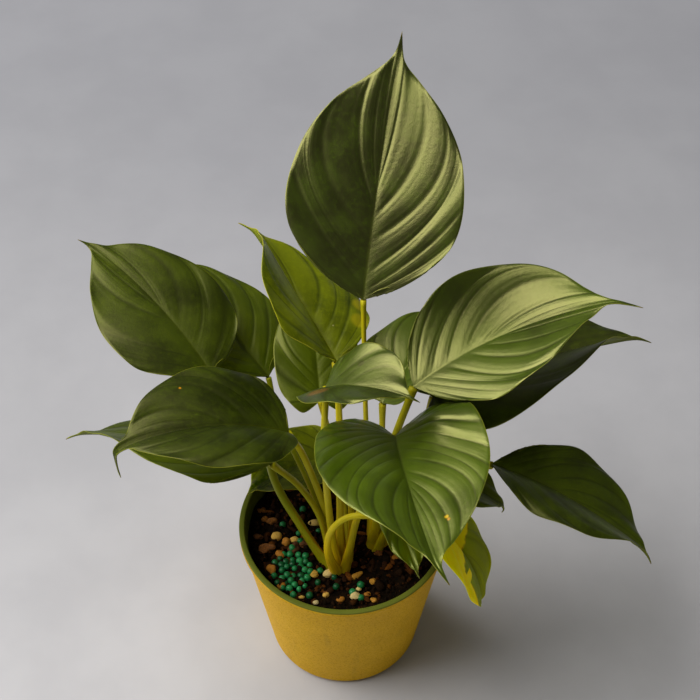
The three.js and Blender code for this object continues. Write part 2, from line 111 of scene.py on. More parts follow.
BROWN_STONES = [
    (-39, -9, 3.8, 3, 0), (-43, -2, 2.2, 1.6, 0), (17, -12, 2.2, 2.2, 0), (-37, 7, 2.3, 2, 0),
    (-40, 9, 1.8, 1.6, 0), (-42, 14, 2, 1.8, 0), (-20, -6, 3, 1.8, 30), (-25, -9, 3, 2, 60),
    (-9, -35, 1.6, 1.2, 0), (21, 30, 2.6, 1.8, 20), (-28, 28, 2.4, 1.7, 0), (38, 12, 2.2, 1.6, 80),
]
LONE_BEADS = [
    (-31, 5), (-23, 0), (-22, -5), (-26, -9), (-13, 2), (-21, 15), (-4, -32), (-12, -22),
    (8, -31), (4, -35), (8, -38), (-5, -26), (-13, -29), (-25, -36), (-17, -36), (32, 8), (16, 26),
]
BEAD_HEAP = {"x": -26, "y": -22, "across": 9.5, "deep": 11.5, "count": 46, "radius": 1.75}

# Spots on single blades: where and how wide, in metres, and the colour.
SPOTS = [
    ((-0.0739, 0.0059, 0.1912), 0.0008, (206, 136, 20)),
    ((0.0078, 0.0033, 0.2109), 0.0024, (10, 14, 0)),
    ((-0.0112, -0.0107, 0.2085), 0.0060, (112, 74, 24)),
    ((0.0420, -0.0736, 0.2040), 0.0013, (216, 172, 16)),
    ((0.0430, -0.0752, 0.2040), 0.0010, (190, 120, 16)),
    ((-0.0046, 0.0408, 0.1945), 0.0008, (206, 204, 140)),
    ((0.0085, 0.0571, 0.1900), 0.0055, (168, 158, 14)),
    ((0.0078, 0.0462, 0.1915), 0.0055, (168, 158, 14)),
]

# The yellowing blade is yellow from its base to this share of its length, leaning with the width,
# and along its right margin, in shares of the half width, with one notch: place, width and depth.
YELLOW_UNTIL = 0.36
YELLOW_LEAN = 0.1
YELLOW_STRIP = -0.6
YELLOW_NOTCH = (0.48, 0.035, 0.3)

# The side veins leave the midrib low down and arc forward: share of the length, power and bend.
# Those that end near the tip bow outwards by more.
VEIN_FROM = 0.55
VEIN_POWER = 3
VEIN_BEND_ALONG = 0.5
VEIN_BEND_OUT = 0.72
VEIN_BOW = 1.2

# Drip tips are drawn out from this share of the length on, by as many more steps of the midrib.
TAIL_FROM = 0.88
TAIL_STEPS = 12

# Blades: thickness, and at the margin; ribs of RIB_WIDTH have the leaf's own height, and narrower
# ones less. Then come the midrib's groove above and its ridge below, each with a depth and a half
# width, the side veins' ridges below, with their half width as a share of a rib, and mesh steps.
BLADE_THICKNESS = 0.45
BLADE_EDGE = 0.22
RIB_WIDTH = 7
GROOVE_DEPTH = 0.15
GROOVE_HALF = 0.9
MIDRIB_DEPTH = 0.95
MIDRIB_HALF = 0.95
VEIN_DEPTH = 0.16
VEIN_HALF = 0.07
CREASE_HALF = 0.11
SWAY_SIZE = 17
MARGIN_STEPS = 168
RAY_STEPS = 26
SMALL_MARGIN_STEPS = 80
SMALL_RAY_STEPS = 20
SMALL_BLADE = 60

# The leaves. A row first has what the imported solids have: the name, where the stalk meets the
# blade, SHAPE's numbers, with angles in degrees, and the stalk's foot and way up from its crown. Then
# comes what only this scene has: the veins on each side, ribs as the height of the relief between
# them, and tone from dark to light green. Last are values with the plain ones in PLAIN_LEAF: tail
# and tail_bend for the drip tip, ribs_left, dome for a bulge (along, to the left, radius and
# height), and thick and fresh for the stalk.
SHAPE = (
    "length", "width", "heading", "pitch", "roll", "droop", "side", "twist", "fold", "curl",
    "fold_right", "curl_right", "lobe", "belly", "hook",
)
PLAIN_LEAF = {
    "tail": 0, "tail_bend": (0, 0), "dome": (0, 0, 1, 0), "thick": STALK_THICKNESS, "fresh": STALK_FRESH,
}


def row(name, base, shape, foot, via, veins, ribs, tone, **own):
    shared = {"name": name, "base": base, **dict(zip(SHAPE, shape)), "foot": foot, "via": via}
    looks = {"veins": veins, "ribs": ribs, "ribs_left": ribs, "tone": tone}
    return {**PLAIN_LEAF, **shared, **looks, **own}


LEAVES = [
    row("top", (9, 30, 223), (117, 80, 81, 42, -1, 2, -5, -6, 16, 2, -4, 15, -0.07, 0.06, -24),
        ("back", "outer", 90), ((12, 3, 120), (10, 17, 175)), 9, 0.38, 0.02, tail=0.035,
        tail_bend=(-10, -6), ribs_left=0.4, thick=0.85),
    row("right_upper", (32, 11, 185), (104, 71, 32, 19, 4, -4, -41, -13, 6, 34, 9, 3, -0.06, 0.12, 36),
        ("back", "inner", 330), ((17, -8, 118), (22, -4, 158)), 10, 0.36, 0.42, tail=0.09,
        tail_bend=(-20, -15), thick=1.3, fresh=0.5),
    row("right_lower", (43, 29, 156), (112, 84, 26, 3, 1, -1, -19, -44, 28, -10, 30, -34, 0.1, 0, 8),
        ("back", "outer", 30), ((26, 3, 112), (37, 18, 138)), 9, 0.25, 0.02, tail=0.03, tail_bend=(30, 0)),
    row("left_front", (-62, 29, 174), (96, 64, 126, 21, 6, 15, 16, -13, 9, -20, 3, -13, -0.05, 0.04, -13),
        ("front", "outer", 197), ((-21, -6, 98), (-34, 10, 115), (-43, 29, 149)), 7, 0.2, 0.26, tail=0.02,
        tail_bend=(0, 20), thick=1.5, fresh=1),
    row("left_back", (-36, 41, 157), (92, 62, 132, 20, 11, 21, 0, 1, 10, -19, 10, -19, -0.1, 0.01, 0),
        ("front", "outer", 122), ((-15, 4, 110), (-26, 20, 130), (-33, 33, 144)), 8, 0.35, 0.6, thick=0.85,
        fresh=1),
    row("young", (-3, 23, 189), (86, 62, 119, 17, 23, 7, 4, 39, 32, -46, 34, -29, -0.05, 0.02, -20),
        ("front", "inner", 90), ((-2, -5, 120), (-2, 10, 160)), 8, 0.35, 0.3, tail=0.03,
        tail_bend=(20, 35)),
    row("front_left", (-25, -5, 172), (84, 68, 187, 32, 15, 47, 15, -12, 30, -46, 27, -29, -0.02, 0.03, 67),
        ("front", "outer", 85), ((-9, -4, 108), (-19, 3, 143)), 9, 0.35, 0.12, tail=0.2, tail_bend=(6, 0),
        fresh=0.4),
    row("low_left", (-34, 0, 142), (105, 65, 162, 8, 3, 25, 9, 50, 13, -14, 13, -14, -0.1, 0, 0),
        ("front", "outer", 159), ((-11, -7, 104), (-21, 0, 122)), 10, 0.28, 0.5, tail=0.03,
        tail_bend=(25, 0), fresh=0.6),
    row("centre", (-8, -1, 200), (50, 45, -32, 41, -9, 34, 0, 1, 17, 10, 23, -20, 0.09, 0.01, 34),
        ("front", "inner", 210), ((-7, -15, 120), (-9, -8, 165)), 8, 0.1, 0.3, tail=0.05,
        tail_bend=(0, 20)),
    row("back_centre", (-11, 24, 160), (67, 41, 97, 25, 3, 25, -8, 2, 12, -20, 5, -10, 0.08, -0.01, 0),
        ("front", "outer", 5), ((3, 0, 110), (-6, 15, 138)), 8, 0.32, 0.6),
    row("heart", (23, -16, 183), (92, 78, -84, 19, 9, 8, 7, -12, 13, 2, 38, -47, 0.23, -0.17, 40),
        ("front", "outer", 300), ((6, -16, 118), (16, -14, 152)), 15, 0.62, 0.6, tail=0.05,
        tail_bend=(10, 35), dome=(6, 20, 12, 4)),
    row("right_front", (69, -7, 150), (87, 59, -26, 4, -18, 34, -6, -16, 19, -2, 29, -51, -0.08, 0.12, 24),
        ("back", "outer", -10), ((32, 0, 104), (54, 7, 134)), 10, 0.22, 0.25, tail=0.02,
        tail_bend=(0, -20)),
    row("under_heart", (31, -13, 150), (53, 31, -5, 2, -6, 52, -4, 0, 18, -8, 18, -8, 0.1, 0, 30),
        ("back", "inner", 90), ((21, -1, 112), (29, -8, 136)), 8, 0.35, 0.7, tail=0.05,
        tail_bend=(30, -30)),
    row("yellowing", (41, -15, 118), (64, 42, -33, -19, -28, 76, -9, 7, 17, -22, 17, -22, 0.05, 0, 15),
        ("front", "outer", 244), ((-8, -25, 105), (-6, -23, 119), (2, -21, 127), (14, -21, 128)), 9, 0.35,
        0.5, thick=1.1, fresh=0),
    row("small_front", (24, -9, 112), (36, 20, -71, 11, -20, 27, -3, 14, 16, -10, 7, -10, 0.05, 0, 30),
        ("back", "outer", -50), ((20, -10, 98),), 8, 0.3, 1, tail=0.06, tail_bend=(20, 30)),
    row("back_right", (18, 17, 166), (73, 50, 54, 24, -21, 41, 1, -1, 17, -2, 17, -2, -0.02, 0, 0),
        ("back", "inner", 210), ((15, -2, 115), (18, 8, 144)), 9, 0.3, 0.85),
    row("rim", (-5, 37, 99), (51, 43, 199, 11, 3, 24, 19, 4, 19, -11, 19, -11, 0.05, 0, 30),
        ("front", "outer", 43), ((0, 8, 91),), 9, 0.35, 0.2),
]


# Camera, lights and floor, in metres and degrees
CAMERA_LENS = 77.14
CAMERA_PLACE = (0, -0.4259, 0.7145)
CAMERA_TILT = 40.943
CAMERA_TURN = -0.395
SOFTBOX_PLACE = (-1.8, 0.38, 2.36)
SOFTBOX_AIM = (0, 0, 0.12)
SOFTBOX_SIZE = (3.1, 2.8)
SOFTBOX_POWER = 146
SURROUND_STRENGTH = 0.13
FLOOR_SIZE = 40


# Small mathematics


def smooth_step(low, high, x):
    t = np.clip((x - low) / (high - low), 0, 1)
    return t * t * (3 - 2 * t)


def through(points, t):
    """The smooth curve through a list of points, at places t from 0 to 1."""
    points = np.asarray(points, float)
    padded = np.vstack([2 * points[0] - points[1], points, 2 * points[-1] - points[-2]])
    scaled = np.clip(t, 0, 1) * (len(points) - 1)
    i = np.minimum(scaled.astype(int), len(points) - 2)
    f = (scaled - i)[..., None]
    a, b, c, d = (padded[i + k] for k in range(4))
    return 0.5 * (
        2 * b + (c - a) * f + (2 * a - 5 * b + 4 * c - d) * f**2 + (3 * b - a - 3 * c + d) * f**3
    )


def hump(x, width):
    return np.exp(-((x / width) ** 2))


def polar(reach, angle):
    return reach * math.cos(angle), reach * math.sin(angle)


def unit(vectors):
    return vectors / np.maximum(np.linalg.norm(vectors, axis=-1, keepdims=True), 1e-9)


class Noise:
    """Smooth random values from -1 to 1 over space, the same each run."""

    def __init__(self, seed, waves=18):
        random = np.random.default_rng(seed)
        direction = unit(random.normal(size=(waves, 3)))
        self.waves = direction * random.uniform(0.6, 1.6, (waves, 1))
        self.phase = random.uniform(0, 2 * np.pi, waves)

    def __call__(self, points, size):
        """points is (..., 3), and size the rough size of one bump."""
        angle = points @ self.waves.T * (2 * np.pi / (2 * size)) + self.phase
        return np.sin(angle).sum(-1) / math.sqrt(len(self.phase) / 2) / 2


# Meshes


def add_object(name, data):
    obj = bpy.data.objects.new(name, data)
    bpy.context.scene.collection.objects.link(obj)
    return obj


def make_object(name, points, faces, attributes, material, smooth=True):
    """A mesh object from points in millimetres, a list of faces and vectors kept for each point."""
    mesh = bpy.data.meshes.new(name)
    mesh.from_pydata((np.asarray(points) * MM).tolist(), [], faces)
    for key, values in attributes.items():
        layer = mesh.attributes.new(key, "FLOAT_VECTOR", "POINT")
        layer.data.foreach_set("vector", np.asarray(values, np.float32).ravel())
    mesh.polygons.foreach_set("use_smooth", [smooth] * len(mesh.polygons))
    mesh.update()
    mesh.materials.append(material)
    return add_object(name, mesh)


def welded(points, faces, attributes):
    """Joins points that lie in one place, and drops the faces that this leaves without an area."""
    _, first, place = np.unique(np.round(points, 4), axis=0, return_index=True, return_inverse=True)
    place = place.reshape(-1)
    kept = []
    for face in faces:
        corners = [place[i] for i in face]
        corners = [p for k, p in enumerate(corners) if p != corners[k - 1]]
        if len(corners) > 2 and len(set(corners)) == len(corners):
            kept.append([int(p) for p in corners])
    return points[first], kept, {key: values[first] for key, values in attributes.items()}


def ring(radius, height, segments):
    angle = 2 * np.pi * np.arange(segments) / segments
    return np.stack([radius * np.cos(angle), radius * np.sin(angle), np.full_like(angle, height)], -1)


def ring_quads(rows, columns):
    """The numbers of points that lie in closed rings, and the faces between the rings."""
    index = np.arange(rows * columns).reshape(rows, columns)
    following = np.roll(index, -1, 1)
    quads = np.stack([index[:-1], following[:-1], following[1:], index[1:]], -1)
    return index, quads.reshape(-1, 4).tolist()


def closed_form(rings, first, last, flip=False):
    """A body through rings of points, closed by a middle point at each end."""
    points = np.vstack([*rings, [(0, 0, first)], [(0, 0, last)]])
    index, faces = ring_quads(len(rings), len(rings[0]))
    low, high = index.size, index.size + 1
    faces += [[low, int(b), int(a)] for a, b in zip(index[0], np.roll(index[0], -1))]
    faces += [[high, int(a), int(b)] for a, b in zip(index[-1], np.roll(index[-1], -1))]
    if flip:
        faces = [face[:1] + face[:0:-1] for face in faces]
    return points, faces


def place_piece(obj, node):
    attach(obj, "root")
    if node:
        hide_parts(node)


# Leaf blades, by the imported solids' formulas, with finer tips, veins that curve more, and relief


def with_tail(leaf, x):
    """The drip tip's last stretch is drawn out by the leaf's own tail, a share of its length."""
    return x + leaf["tail"] * np.maximum(0, (x - TAIL_FROM) / (1 - TAIL_FROM)) ** 2


def half_outline(leaf):
    lobe, belly = leaf["lobe"], leaf["belly"]
    points = np.array([
        (0, 0), (-0.55 * lobe, 0.085), (-lobe, 0.23), (0.08 - 0.9 * lobe, 0.38),
        (0.19 - 0.6 * lobe, 0.475), (0.37, 0.5), (0.55, 0.45), (0.72, 0.315),
        (0.84, 0.155), (0.9, 0.063), (0.945, 0.022), (1, 0),
    ])
    x = points[:, 0]
    points[:, 0] = with_tail(leaf, np.where(x > 0, x + 4 * belly * x * (1 - x) ** 2, x))
    return points


def flat_point(leaf, u, v):
    """Along and out, in millimetres: u runs round the margin and v out along a side vein's line."""
    edge = through(half_outline(leaf), u)
    ex, ey = edge[..., 0], edge[..., 1]
    start = VEIN_FROM * np.clip(ex, 0, 1) ** VEIN_POWER
    bend_x = start + VEIN_BEND_ALONG * (ex - start)
    bend_y = (VEIN_BEND_OUT + VEIN_BOW * smooth_step(0.45, 0.88, ex)) * ey
    x = (1 - v) ** 2 * start + 2 * v * (1 - v) * bend_x + v**2 * ex
    y = 2 * v * (1 - v) * bend_y + v**2 * ey
    return x * leaf["length"], y * leaf["width"]


def midrib_ahead(leaf, s):
    hooked = np.clip((s - HOOK_FROM) / (1 - HOOK_FROM), 0, 1)
    beyond = smooth_step(TAIL_FROM, 1 + leaf["tail"], s)
    dip, swing = leaf["tail_bend"]
    pitch = np.radians(leaf["pitch"] - leaf["droop"] * s - leaf["hook"] * hooked**2 - dip * beyond)
    turn = np.radians(leaf["side"] * s + swing * beyond)
    ahead = [np.cos(pitch) * np.cos(turn), np.cos(pitch) * np.sin(turn), np.sin(pitch)]
    return np.stack(ahead, -1), turn


def midrib_chain(leaf):
    s = (np.arange(SPINE_STEPS + TAIL_STEPS) + 0.5) / SPINE_STEPS
    ahead, _ = midrib_ahead(leaf, s)
    return np.vstack([np.zeros(3), np.cumsum(ahead * leaf["length"] / SPINE_STEPS, 0)])


def blade_axes(leaf, s):
    """The directions ahead, to the left and up out of the blade, in the leaf's own frame."""
    ahead, turn = midrib_ahead(leaf, s)
    roll = np.radians(leaf["roll"] + leaf["twist"] * s)[..., None]
    level = np.stack([-np.sin(turn), np.cos(turn), np.zeros_like(turn)], -1)
    square = np.cross(ahead, level)
    left = level * np.cos(roll) + square * np.sin(roll)
    up = square * np.cos(roll) - level * np.sin(roll)
    return ahead, left, up


def turned(leaf, vectors):
    angle = math.radians(leaf["heading"])
    c, s = math.cos(angle), math.sin(angle)
    x, y, z = vectors[..., 0], vectors[..., 1], vectors[..., 2]
    return np.stack([c * x - s * y, s * x + c * y, z], -1)


def place_points(leaf, along, out, lift=0.0):
    s = np.maximum(along / leaf["length"], 0)
    chain = midrib_chain(leaf)
    scaled = s * SPINE_STEPS
    i = np.minimum(scaled.astype(int), SPINE_STEPS + TAIL_STEPS - 1)
    f = (scaled - i)[..., None]
    point = chain[i] * (1 - f) + chain[i + 1] * f
    ahead, left, up = blade_axes(leaf, s)
    behind = np.minimum(along, 0)
    half = leaf["width"] / 2
    fold = np.radians(np.where(out < 0, leaf["fold_right"], leaf["fold"]))
    curl = np.radians(np.where(out < 0, leaf["curl_right"], leaf["curl"]))
    end = fold + curl * np.abs(out) / half
    across = half * (np.sin(end) - np.sin(fold)) / curl
    rise = half * (np.cos(fold) - np.cos(end)) / curl
    rise = rise + behind * math.tan(LOBE_DIP) + lift
    point = point + ahead * behind[..., None] + left * (across * np.sign(out))[..., None]
    return turned(leaf, point + up * rise[..., None]) + np.array(leaf["base"], float)


def dome_lift(leaf, along, out):
    x, y, radius, height = leaf["dome"]
    return height * np.exp(-((along - x) ** 2 + (out - y) ** 2) / radius**2)


def rib_phase(leaf, u, side):
    """Whole numbers at the side veins, which lie a little unevenly."""
    seed = leaf["length"] + 40 * side
    uneven = 0.22 * np.sin(9 * u + seed) + 0.15 * np.sin(23 * u + 2 * seed)
    return leaf["veins"] * (u - 0.05) / 0.9 + uneven * smooth_step(0, 0.2, u)


def rib_width(sheet, phase):
    """How far apart the side veins are at each point, in millimetres."""
    across_u, across_v = np.gradient(sheet, axis=(0, 1))
    area = np.linalg.norm(np.cross(across_u, across_v), axis=-1)
    ray = np.maximum(np.linalg.norm(across_v, axis=-1), 1e-6)
    return area / ray / np.maximum(np.abs(np.gradient(phase, axis=0)), 1e-6)


def blade_relief(leaf, u, v, along, out, side, sheet, random):
    """The height of the upper face's relief, with sunken veins and raised ribs between them."""
    s = np.clip(along / leaf["length"], 0, 1)
    phase = rib_phase(leaf, u, side)
    rib = np.floor(phase).astype(int)
    part = phase - rib
    gain = random.uniform(0.6, 1.35, leaf["veins"] + 6)[rib + 3]
    crease = hump(np.minimum(part, 1 - part), CREASE_HALF)
    bulge = 0.8 * np.sin(np.pi * part) - 0.2 * crease
    small = np.sin(3 * np.pi * part) ** 2 - 0.5
    ends = smooth_step(0.0, 0.06, u) * (1 - smooth_step(0.84, 0.98, u))
    wide = np.minimum(rib_width(sheet, phase) / RIB_WIDTH, 1.2) ** 1.4
    reach = smooth_step(0.0, 0.1, v) * (1 - 0.65 * smooth_step(0.85, 1, v)) * wide
    height = leaf["ribs"] if side < 0 else leaf["ribs_left"]
    ribs = height * (gain * bulge + 0.1 * small) * ends * reach
    groove = -GROOVE_DEPTH * hump(out, GROOVE_HALF) * (1 - s) ** 0.6 * (out < 3)
    flat = np.stack([along, out * side, np.zeros_like(along)], -1)
    sway = Noise(len(leaf["name"]) * 7 + int(leaf["length"]))(flat, SWAY_SIZE)
    calm = smooth_step(0, 0.4, v) * smooth_step(0, 0.1, u) * (1 - smooth_step(0.85, 1, u))
    return ribs + groove + 0.35 * leaf["ribs"] * sway * calm


def build_blade(leaf, material):
    """A closed blade: for each half its upper face, margin and lower face, joined at the midrib."""
    large = leaf["length"] > SMALL_BLADE
    steps_u = MARGIN_STEPS if large else SMALL_MARGIN_STEPS
    steps_v = RAY_STEPS if large else SMALL_RAY_STEPS
    u, v = np.meshgrid(
        np.linspace(0, 1, steps_u + 1), np.linspace(0, 1, steps_v + 1) ** 1.45, indexing="ij"
    )
    random = np.random.default_rng(int(leaf["length"] * 31 + leaf["width"]))
    along, out = flat_point(leaf, u, v)
    s = np.clip(along / leaf["length"], 0, 1)
    up = turned(leaf, blade_axes(leaf, s)[2])
    points, faces, place, veins = [], [], [], []
    count = 0
    for side in (1, -1):
        phase = rib_phase(leaf, u, side)
        part = phase - np.round(phase)
        swell = 4 * u * (1 - u) * v**3
        wave = WAVE * swell * np.sin(2 * np.pi * WAVE_COUNT * u + side)
        sheet = place_points(leaf, along, side * out, wave + dome_lift(leaf, along, side * out))
        smooth = place_points(leaf, along, side * out)
        across_u, across_v = np.gradient(sheet, axis=(0, 1))
        normal = np.cross(across_u, across_v)
        length = np.linalg.norm(normal, axis=-1, keepdims=True)
        normal = np.where(length > 1e-4, normal / np.maximum(length, 1e-9), up)
        normal *= np.sign((normal * up).sum(-1, keepdims=True))
        normal[0], normal[-1], normal[:, 0] = up[0], up[-1], up[:, 0]
        margin = smooth[:, -1:]
        to_edge = np.linalg.norm(smooth - margin, axis=-1)
        near_edge = 1 - smooth_step(0, 2.5, to_edge)
        relief = blade_relief(leaf, u, v, along, out, side, sheet, random)
        rib_below = MIDRIB_DEPTH * hump(out, MIDRIB_HALF) * (1 - 0.93 * s) ** 0.8
        vein_below = VEIN_DEPTH * hump(part, VEIN_HALF) * smooth_step(0, 0.15, u)
        vein_below *= (1 - smooth_step(0.85, 0.95, u)) * (1 - smooth_step(0.5, 0.95, v))
        thick = BLADE_THICKNESS + (BLADE_EDGE - BLADE_THICKNESS) * near_edge
        upper = sheet + normal * relief[..., None]
        lower = upper - normal * (thick + rib_below + vein_below)[..., None]
        outward = unit(sheet[:, -1] - sheet[:, -2])
        middle = (upper[:, -1] + lower[:, -1]) / 2 + outward * BLADE_EDGE / 2
        rows = np.concatenate([upper, middle[:, None], lower[:, ::-1]], 1)
        wide = rows.shape[1]
        index = count + np.arange(rows.shape[0] * wide).reshape(rows.shape[0], wide)
        quads = np.stack([index[:-1, :-1], index[1:, :-1], index[1:, 1:], index[:-1, 1:]], -1)
        quads = quads.reshape(-1, 4)
        faces.extend((quads if side > 0 else quads[:, ::-1]).tolist())
        share = np.clip(along / (leaf["length"] * (1 + leaf["tail"])), 0, 1)
        top = np.stack([share, side * out / (leaf["width"] / 2), to_edge], -1)
        line = np.stack([phase, v, np.ones_like(v)], -1)
        line_below = line * (1, 1, 0)
        edge_line = line[:, -1:] * (1, 1, 0.5)
        points.append(rows.reshape(-1, 3))
        place.append(np.concatenate([top, top[:, -1:], top[:, ::-1]], 1).reshape(-1, 3))
        both = np.concatenate([line, edge_line, line_below[:, ::-1]], 1)
        veins.append(both.reshape(-1, 3))
        count += rows.shape[0] * wide
    points, faces, kept = welded(
        np.concatenate(points), faces,
        {"place": np.concatenate(place), "veins": np.concatenate(veins)},
    )
    look = (leaf["tone"], leaf["length"] % 7, 0)
    kept["look"] = np.tile(look, (len(points), 1))
    return make_object("blade_" + leaf["name"], points, faces, kept, material)


# Stalks


def stalk_route(leaf):
    crown_name, circle, angle = leaf["foot"]
    crown = CROWNS[crown_name]
    east, north = polar(crown[circle], math.radians(angle))
    x, y = crown["x"] + east, crown["y"] + north
    up = turned(leaf, blade_axes(leaf, np.array(0.0))[2])
    end = np.array(leaf["base"], float) - up * (BLADE_THICKNESS + 0.5)
    return [(x, y, STALK_BOTTOM), (x, y, STALK_COLLAR), *leaf["via"], tuple(end)]


def build_stalk(leaf, material):
    """A round stalk with a shallow channel, whose foot widens into a sheath that clasps its crown."""
    route = stalk_route(leaf)
    t = np.linspace(0, 1, STALK_STEPS + 1)
    centre = through(route, t)
    ahead = unit(np.gradient(centre, axis=0))
    crown = CROWNS[leaf["foot"][0]]
    inward = np.array([crown["x"], crown["y"], 0.0]) - centre[0] * np.array([1, 1, 0])
    across = [unit(inward - ahead[0] * (inward @ ahead[0]))]
    for direction in ahead[1:]:
        across.append(unit(across[-1] - direction * (across[-1] @ direction)))
    across = np.array(across)
    around = np.cross(ahead, across)
    lengths = np.linalg.norm(np.diff(centre, axis=0), axis=1)
    travelled = np.concatenate([[0], np.cumsum(lengths)])
    radius = STALK_FOOT_RADIUS + (STALK_TIP_RADIUS - STALK_FOOT_RADIUS) * t**0.7
    radius = radius * leaf["thick"]
    radius = radius * (1 + NECK_SWELL * hump(travelled[-1] - travelled, NECK_LENGTH))
    sheath = (1 - smooth_step(SHEATH_FROM, SHEATH_LENGTH, travelled))[:, None]
    angle = 2 * np.pi * np.arange(STALK_SIDES) / STALK_SIDES
    from_inner = (angle + np.pi) % (2 * np.pi) - np.pi
    channel = hump(from_inner, CHANNEL_HALF)
    reach = radius[:, None] * (1 - (CHANNEL_DEPTH + SHEATH_CHANNEL * sheath) * channel)
    sideways = reach * np.sin(angle) * (1 + SHEATH_SPREAD * sheath)
    inwards = reach * np.cos(angle) + sheath * sideways**2 / SHEATH_WRAP
    points = (
        centre[:, None] + across[:, None] * inwards[..., None] + around[:, None] * sideways[..., None]
    )
    index, faces = ring_quads(STALK_STEPS + 1, STALK_SIDES)
    faces += [index[0, ::-1].tolist(), index[-1].tolist()]
    place = np.stack(np.broadcast_arrays(t[:, None], travelled[:, None], from_inner), -1)
    look = (leaf["fresh"], 0, 0)
    kept = {"place": place.reshape(-1, 3), "look": np.tile(look, (points[..., 0].size, 1))}
    return make_object("petiole_" + leaf["name"], points.reshape(-1, 3), faces, kept, material)


# Soil, beads and granules


def soil_height(x, y):
    slow = np.sin(0.19 * x + 1.3) * np.cos(0.17 * y - 0.6)
    quick = np.sin(0.61 * x - 0.53 * y)
    return SOIL_LEVEL + SOIL_RELIEF * (0.7 * slow + 0.3 * quick)


def pot_outer(z):
    return POT_BASE_RADIUS + POT_WALL_SLOPE * z


def pot_inner(z):
    return pot_outer(z) - POT_WALL


def build_soil(material):
    """The bed: a crumbly top, and plain sides and bottom against the pot."""
    edge = pot_inner(SOIL_LEVEL) - SOIL_GAP
    radius = edge * np.linspace(0, 1, SOIL_RINGS + 1)[1:] ** 0.8
    angle = 2 * np.pi * np.arange(SOIL_SEGMENTS) / SOIL_SEGMENTS
    x, y = radius[:, None] * np.cos(angle), radius[:, None] * np.sin(angle)
    flat = np.stack([x, y, np.zeros_like(x)], -1)
    crumb = 0.55 * np.abs(Noise(11)(flat, 2.2)) + 0.4 * np.abs(Noise(12)(flat, 1.1))
    z = soil_height(x, y) + 0.9 * Noise(13)(flat, 9) + crumb - 0.5
    tops = np.stack([x, y, z], -1)
    low = POT_FLOOR + SOIL_GAP
    bottom_edge = pot_inner(POT_FLOOR) - POT_FLOOR_ROUND - SOIL_GAP
    wider, higher = edge - 1.2 - bottom_edge, SOIL_LEVEL - 3 - low
    sides = [
        ring(bottom_edge + wider * share, low + higher * share, SOIL_SEGMENTS)
        for share in np.linspace(1, 0, 10)
    ]
    points, faces = closed_form([*tops, *sides], float(soil_height(0, 0)), low, flip=True)
    return make_object("soil_bed", points, faces, {}, material)


def icosphere(level):
    mesh = bpy.data.meshes.new("sphere")
    work = bmesh.new()
    bmesh.ops.create_icosphere(work, subdivisions=level, radius=1)
    work.to_mesh(mesh)
    work.free()
    points = np.array([vertex.co[:] for vertex in mesh.vertices])
    faces = np.array([face.vertices[:] for face in mesh.polygons])
    bpy.data.meshes.remove(mesh)
    return points, faces


def rotation(random):
    """A random turn in space, as a matrix."""
    w, x, y, z = unit(random.normal(size=4))
    return np.array([
        [1 - 2 * (y * y + z * z), 2 * (x * y - z * w), 2 * (x * z + y * w)],
        [2 * (x * y + z * w), 1 - 2 * (x * x + z * z), 2 * (y * z - x * w)],
        [2 * (x * z - y * w), 2 * (y * z + x * w), 1 - 2 * (x * x + y * y)],
    ])


def build_lumps(name, lumps, level, rough, seed, material, smooth=True):
    """One piece made of many lumps: each is (x, y, z, three half sizes, turn or None for any turn)."""
    sphere, sphere_faces = icosphere(level)
    random = np.random.default_rng(seed)
    points, faces, shades = [], [], []
    for count, (x, y, z, sizes, turn) in enumerate(lumps):
        shape = sphere * (1 + rough * Noise(seed * 1000 + count, 7)(sphere, 0.9)[:, None])
        shape = shape * np.array(sizes)
        if turn is None:
            shape = shape @ rotation(random).T
        else:
            c, s = math.cos(turn), math.sin(turn)
            shape = shape @ np.array([[c, s, 0], [-s, c, 0], [0, 0, 1]])
        points.append(shape + np.array([x, y, z]))
        faces.append(sphere_faces + count * len(sphere))
        shades.append(np.tile(random.uniform(0, 1, 3), (len(sphere), 1)))
    kept = {"shade": np.concatenate(shades)}
    all_faces = np.concatenate(faces).tolist()
    return make_object(name, np.concatenate(points), all_faces, kept, material, smooth)


def above_soil(x, y, rise):
    return float(soil_height(x, y)) + rise


def bead_lumps():
    """The lone beads, and a heap of them that keep their distance from each other."""
    random = np.random.default_rng(77)
    heap, size = BEAD_HEAP, BEAD_HEAP["radius"]
    places = list(LONE_BEADS)
    tries = 0
    while len(places) < len(LONE_BEADS) + heap["count"] and tries < 4000:
        tries += 1
        angle, reach = random.uniform(0, 2 * np.pi), math.sqrt(random.uniform())
        x = heap["x"] + heap["across"] * reach * math.cos(angle)
        y = heap["y"] + heap["deep"] * reach * math.sin(angle)
        if all(math.hypot(x - px, y - py) > 1.55 * size for px, py in places):
            places.append((x, y))
    lumps = []
    for x, y in places:
        height = above_soil(x, y, 0.4 * size) + random.uniform(-0.3, 0.5)
        lumps.append((x, y, height, (size * random.uniform(0.8, 1.1),) * 3, 0))
    return lumps


def stone_lumps(stones):
    return [
        (x, y, above_soil(x, y, 0.4 * wide), (long, wide, 0.8 * wide), math.radians(turn))
        for x, y, long, wide, turn in stones
    ]


def crumb_lumps(count, smallest, largest, seed):
    random = np.random.default_rng(seed)
    edge = pot_inner(SOIL_LEVEL) - 1.5
    lumps = []
    for _ in range(count):
        angle = random.uniform(0, 2 * np.pi)
        size = smallest * (largest / smallest) ** (random.uniform() ** 2)
        reach = (edge - size) * math.sqrt(random.uniform())
        x, y = polar(reach, angle)
        sizes = size * random.uniform(0.55, 1.25, 3)
        height = above_soil(x, y, 0.25 * size) + random.uniform(-0.3, 0.7)
        lumps.append((x, y, height, tuple(sizes), None))
    return lumps


